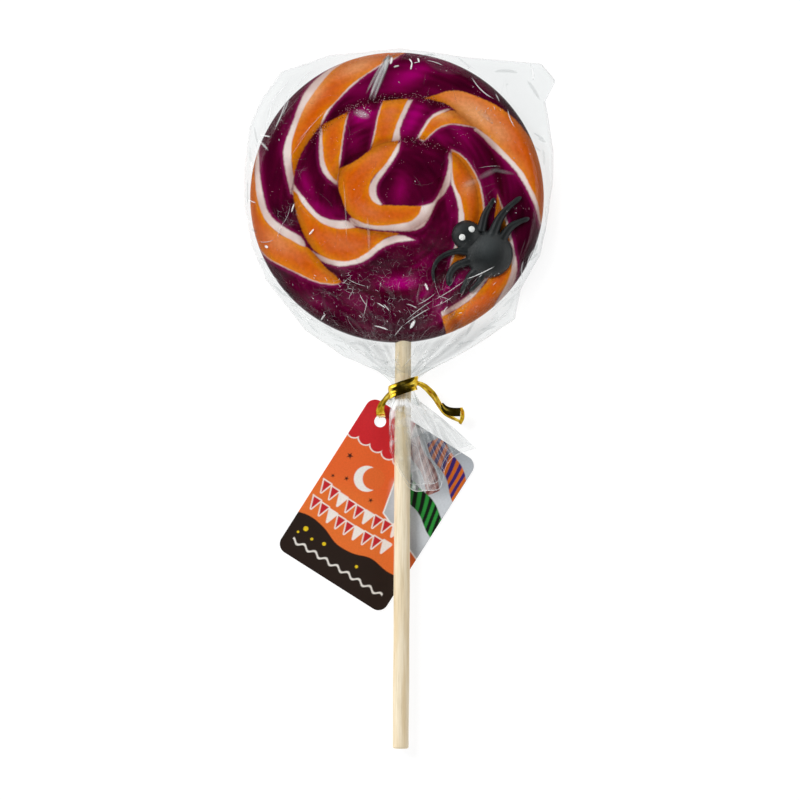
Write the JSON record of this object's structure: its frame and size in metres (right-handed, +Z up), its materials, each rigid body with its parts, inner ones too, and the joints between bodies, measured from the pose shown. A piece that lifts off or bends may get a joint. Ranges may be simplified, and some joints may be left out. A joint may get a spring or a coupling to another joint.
{
  "type": "lollipop",
  "caption": "Flat spiral rope-candy lollipop on a wooden stick, with a sugar spider on its face, in a clear film bag tied at the neck, and a card hang tag.",
  "frame": {"origin": "middle of the candy disc's flat back, which rests on the surface", "axes": "+Z up through the candy's face, +Y from the stick towards the candy, +X to the right of the face"},
  "size_m": [0.0998, 0.2258, 0.0135],
  "materials": {
    "boiled_sugar": "glossy boiled sugar, striped purple, orange and ivory",
    "birch": "plain sanded birch",
    "sugar_paste": "matte black sugar paste",
    "clear_film": "clear crumpled cellophane",
    "gold_foil": "bright gold foil ribbon",
    "printed_card": "satin printed card"
  },
  "bodies": {
    "root": {"candy": "boiled_sugar", "stick": "birch", "spider": "sugar_paste", "wrapper": "clear_film", "twist_tie": "gold_foil", "tag": "printed_card"}
  },
  "joints": []
}
